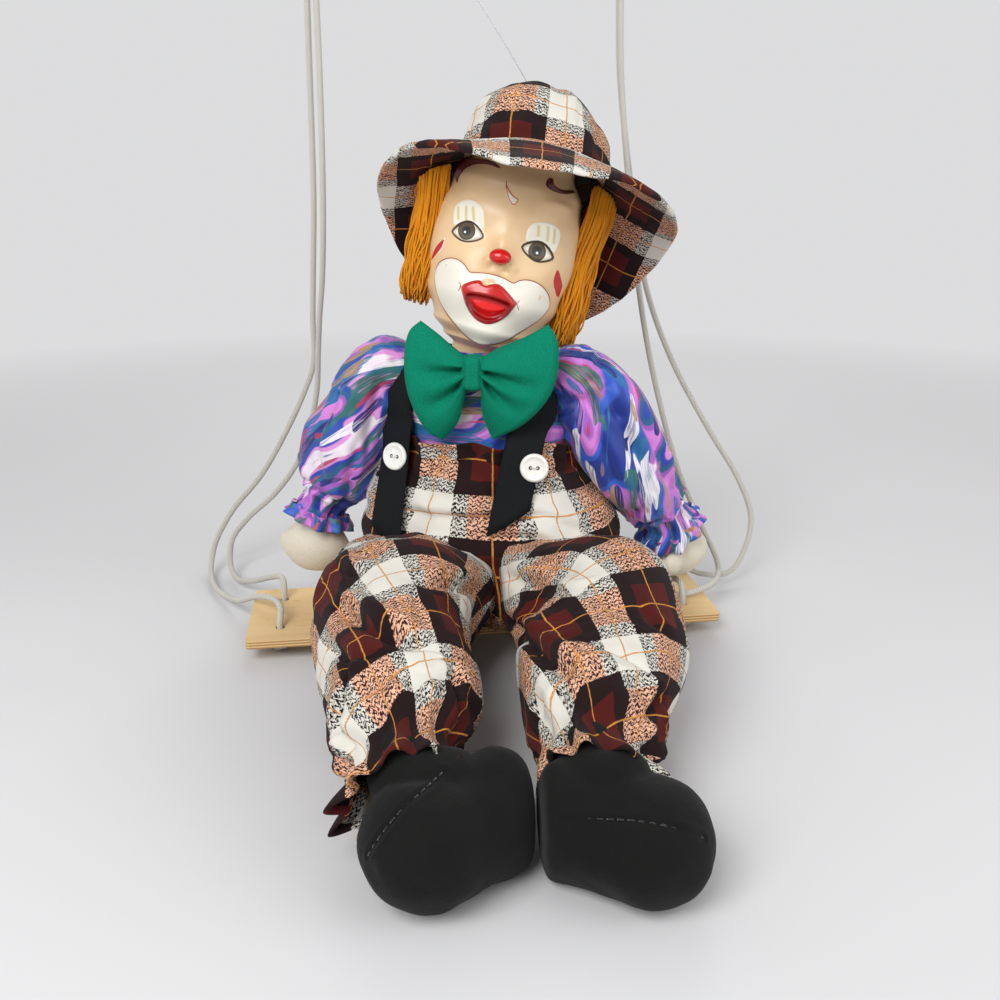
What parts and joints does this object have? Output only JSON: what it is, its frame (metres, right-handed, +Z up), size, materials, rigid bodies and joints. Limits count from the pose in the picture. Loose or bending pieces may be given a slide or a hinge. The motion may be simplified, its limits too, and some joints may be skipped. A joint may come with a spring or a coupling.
{
  "type": "clown doll on a swing",
  "caption": "Seated clown doll with a hollow porcelain head, soft jointed limbs, patchwork plaid trousers and hat, on a small plank swing with cords.",
  "frame": {"origin": "on the floor, under the middle of the seated doll and its plank, cords left out", "axes": "+Z up; +X along the plank toward the doll's own left; the legs point toward -Y"},
  "size_m": [0.3027, 0.3327, 0.3259],
  "materials": {
    "porcelain": "glossy painted",
    "orange_yarn": "loose yarn",
    "plaid_cloth": "brushed plaid",
    "print_cloth": "satin print",
    "green_ribbon": "ribbed knit",
    "black_cloth": "matte",
    "black_braid": "woven tape",
    "button_plastic": "pearl",
    "mitt_cloth": "napped",
    "body_cloth": "plain weave",
    "plywood": "bare birch plywood",
    "white_cord": "braided",
    "clear_line": "clear nylon"
  },
  "bodies": {
    "swing_and_trunk": {"swing_plank": "plywood", "stopper_knot_right_front": "white_cord", "stopper_knot_right_rear": "white_cord", "stopper_knot_left_front": "white_cord", "stopper_knot_left_rear": "white_cord", "cord_right_front": "white_cord", "cord_right_rear": "white_cord", "cord_left_front": "white_cord", "cord_left_rear": "white_cord", "hanging_loop_right": "white_cord", "hanging_loop_left": "white_cord", "trouser_seat": "plaid_cloth", "stuffed_body": "body_cloth", "shirt": "print_cloth", "button_right": "button_plastic", "button_left": "button_plastic", "strap_right": "black_braid", "strap_left": "black_braid", "bow_wing_right": "green_ribbon", "bow_wing_left": "green_ribbon", "bow_knot": "green_ribbon"},
    "thigh_right": {"trouser_thigh_right": "plaid_cloth"},
    "thigh_left": {"trouser_thigh_left": "plaid_cloth"},
    "shin_right": {"trouser_shin_right": "plaid_cloth", "trouser_cuff_right": "plaid_cloth"},
    "shin_left": {"trouser_shin_left": "plaid_cloth", "trouser_cuff_left": "plaid_cloth"},
    "foot_right": {"shoe_right": "black_cloth"},
    "foot_left": {"shoe_left": "black_cloth"},
    "arm_right": {"sleeve_right": "print_cloth", "sleeve_ruffle_right": "print_cloth"},
    "arm_left": {"sleeve_left": "print_cloth", "sleeve_ruffle_left": "print_cloth"},
    "mitt_right": {"hand_right": "mitt_cloth"},
    "mitt_left": {"hand_left": "mitt_cloth"},
    "neck": {"neck_plug": "body_cloth"},
    "head_and_hat": {"head": "porcelain", "hat_crown": "plaid_cloth", "hat_brim": "plaid_cloth", "hair_right": "orange_yarn", "hair_left": "orange_yarn", "hair_back": "orange_yarn", "head_line": "clear_line", "head_line_loop": "clear_line"}
  },
  "joints": [
    {"name": "hip_right", "type": "hinge", "parent": "swing_and_trunk", "child": "thigh_right", "pos_m": [-0.028, 0.08113, 0.0376], "axis": [-0.9989, 0.0471, 0], "range_deg": [0, 20]},
    {"name": "hip_left", "type": "hinge", "parent": "swing_and_trunk", "child": "thigh_left", "pos_m": [0.03, 0.07839, 0.0376], "axis": [-0.9989, 0.0471, 0], "range_deg": [0, 20]},
    {"name": "knee_right", "type": "hinge", "parent": "thigh_right", "child": "shin_right", "pos_m": [-0.046, 0.00613, 0.04], "axis": [0.9989, -0.0471, 0], "range_deg": [0, 70]},
    {"name": "knee_left", "type": "hinge", "parent": "thigh_left", "child": "shin_left", "pos_m": [0.036, -0.00387, 0.038], "axis": [0.9989, -0.0471, 0], "range_deg": [0, 70]},
    {"name": "ankle_right", "type": "hinge", "parent": "shin_right", "child": "foot_right", "pos_m": [-0.045, -0.07187, 0.031], "axis": [0.9989, -0.0471, 0], "range_deg": [-12, 12]},
    {"name": "ankle_left", "type": "hinge", "parent": "shin_left", "child": "foot_left", "pos_m": [0.014, -0.07587, 0.03], "axis": [0.9989, -0.0471, 0], "range_deg": [-12, 12]},
    {"name": "shoulder_right", "type": "hinge", "parent": "swing_and_trunk", "child": "arm_right", "pos_m": [-0.043, 0.10513, 0.123], "axis": [-0.7314, 0.682, 0], "range_deg": [0, 60]},
    {"name": "shoulder_left", "type": "hinge", "parent": "swing_and_trunk", "child": "arm_left", "pos_m": [0.043, 0.07313, 0.123], "axis": [-0.9998, -0.0175, 0], "range_deg": [0, 60]},
    {"name": "wrist_right", "type": "hinge", "parent": "arm_right", "child": "mitt_right", "pos_m": [-0.077, 0.11613, 0.057], "axis": [-0.7314, 0.682, 0], "range_deg": [-8, 8]},
    {"name": "wrist_left", "type": "hinge", "parent": "arm_left", "child": "mitt_left", "pos_m": [0.09, 0.08413, 0.053], "axis": [-0.9998, -0.0175, 0], "range_deg": [-8, 8]},
    {"name": "neck_nod", "type": "hinge", "parent": "swing_and_trunk", "child": "neck", "pos_m": [-0.00524, 0.09166, 0.1203], "axis": [0.9903, -0.1392, 0], "range_deg": [-6, 8]},
    {"name": "head_turn", "type": "hinge", "parent": "neck", "child": "head_and_hat", "pos_m": [-0.003, 0.09213, 0.129], "axis": [0.2491, 0.053, 0.967], "range_deg": [-25, 25]}
  ]
}
